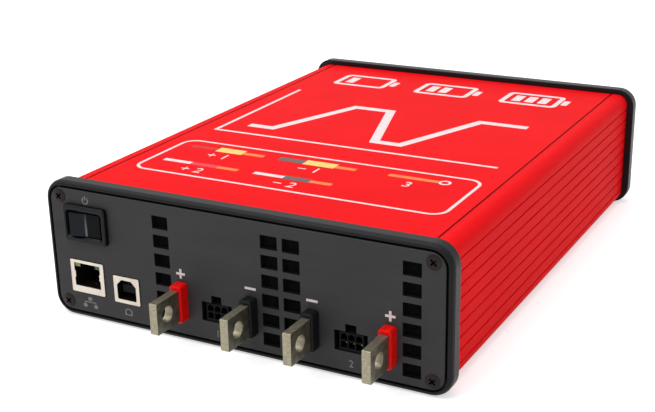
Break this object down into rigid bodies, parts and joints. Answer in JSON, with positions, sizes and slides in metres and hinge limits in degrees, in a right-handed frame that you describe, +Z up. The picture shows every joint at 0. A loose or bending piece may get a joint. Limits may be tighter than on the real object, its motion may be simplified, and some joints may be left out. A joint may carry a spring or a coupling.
{
  "type": "battery cycler",
  "caption": "Flat red instrument case with a dark grey front: holed terminal blades in red and black bushes, six-way headers, vents, rocker switch and sockets.",
  "frame": {"origin": "centre of the footprint: under the middle of the bounding box, on the plane the bezels stand on", "axes": "+X to the right as seen from the front, +Y to the back, +Z up; the terminal blades point to -Y"},
  "size_m": [0.1714, 0.2498, 0.0564],
  "materials": {
    "red_coat": "satin",
    "bezel_plastic": "matt",
    "grey_coat": "matt",
    "dark_screw": "black oxide",
    "switch_black": "gloss",
    "tab_metal": "tinned",
    "socket_sheet": "bright nickel",
    "socket_black": "matt",
    "contact_gold": "bright",
    "lens_yellow": "clear tint",
    "lens_green": "clear tint",
    "print_white": "matt",
    "print_yellow": "matt",
    "print_orange": "matt",
    "print_grey": "matt",
    "print_red": "matt",
    "blade_metal": "tinned, sawn edges",
    "red_insulator": "satin",
    "black_insulator": "satin",
    "clamp_metal": "tinned",
    "steel_screw": "zinc",
    "board_green": "solder resist",
    "sink_metal": "plain",
    "part_black": "moulded",
    "ferrite": "matt",
    "copper_wire": "enamelled",
    "can_blue": "sleeved",
    "fan_black": "moulded",
    "inlet_black": "moulded"
  },
  "bodies": {
    "case": {"blade_clamps": "clamp_metal", "body_extrusion": "red_coat", "capacitors": "can_blue", "chips": "part_black", "clamp_screws": "steel_screw", "ethernet_contacts": "contact_gold", "ethernet_feet": "socket_black", "ethernet_insert": "socket_black", "ethernet_left_light": "lens_yellow", "ethernet_right_light": "lens_green", "ethernet_shell": "socket_sheet", "fan_screws": "dark_screw", "front_bezel": "bezel_plastic", "front_panel": "grey_coat", "front_panel_screws": "dark_screw", "inductor_cores": "ferrite", "inductor_windings": "copper_wire", "inlet_housing": "inlet_black", "inlet_pins": "tab_metal", "inlet_screws": "steel_screw", "left_fan_frame": "fan_black", "left_header": "socket_black", "left_header_pins": "tab_metal", "left_heat_sink": "sink_metal", "left_negative_blade": "blade_metal", "left_negative_bush": "black_insulator", "left_positive_blade": "blade_metal", "left_positive_bush": "red_insulator", "main_board": "board_green", "power_transistors": "part_black", "rear_bezel": "bezel_plastic", "rear_panel": "grey_coat", "rear_panel_screws": "dark_screw", "relays": "part_black", "right_fan_frame": "fan_black", "right_header": "socket_black", "right_header_pins": "tab_metal", "right_heat_sink": "sink_metal", "right_negative_blade": "blade_metal", "right_negative_bush": "black_insulator", "right_positive_blade": "blade_metal", "right_positive_bush": "red_insulator", "supply_board": "board_green", "supply_capacitors": "can_blue", "supply_screws": "steel_screw", "supply_sinks": "sink_metal", "supply_standoffs": "clamp_metal", "supply_transformer": "ferrite", "switch_housing": "switch_black", "switch_tabs": "tab_metal", "top_cover": "red_coat", "transistor_screws": "steel_screw", "usb_contacts": "contact_gold", "usb_insert": "socket_black", "usb_shell": "socket_sheet"},
    "rocker": {"switch_rocker": "switch_black"},
    "left_rotor": {"left_fan_rotor": "fan_black"},
    "right_rotor": {"right_fan_rotor": "fan_black"}
  },
  "joints": [
    {"name": "power_rocker", "type": "hinge", "parent": "case", "child": "rocker", "pos_m": [-0.0662, -0.1048, 0.0404], "axis": [0, 0, 1], "range_deg": [-18, 0]},
    {"name": "left_fan_spin", "type": "hinge", "parent": "case", "child": "left_rotor", "pos_m": [0.01, 0.1097, 0.0282], "axis": [0, 1, 0], "continuous": true},
    {"name": "right_fan_spin", "type": "hinge", "parent": "case", "child": "right_rotor", "pos_m": [0.054, 0.1097, 0.0282], "axis": [0, 1, 0], "continuous": true}
  ]
}
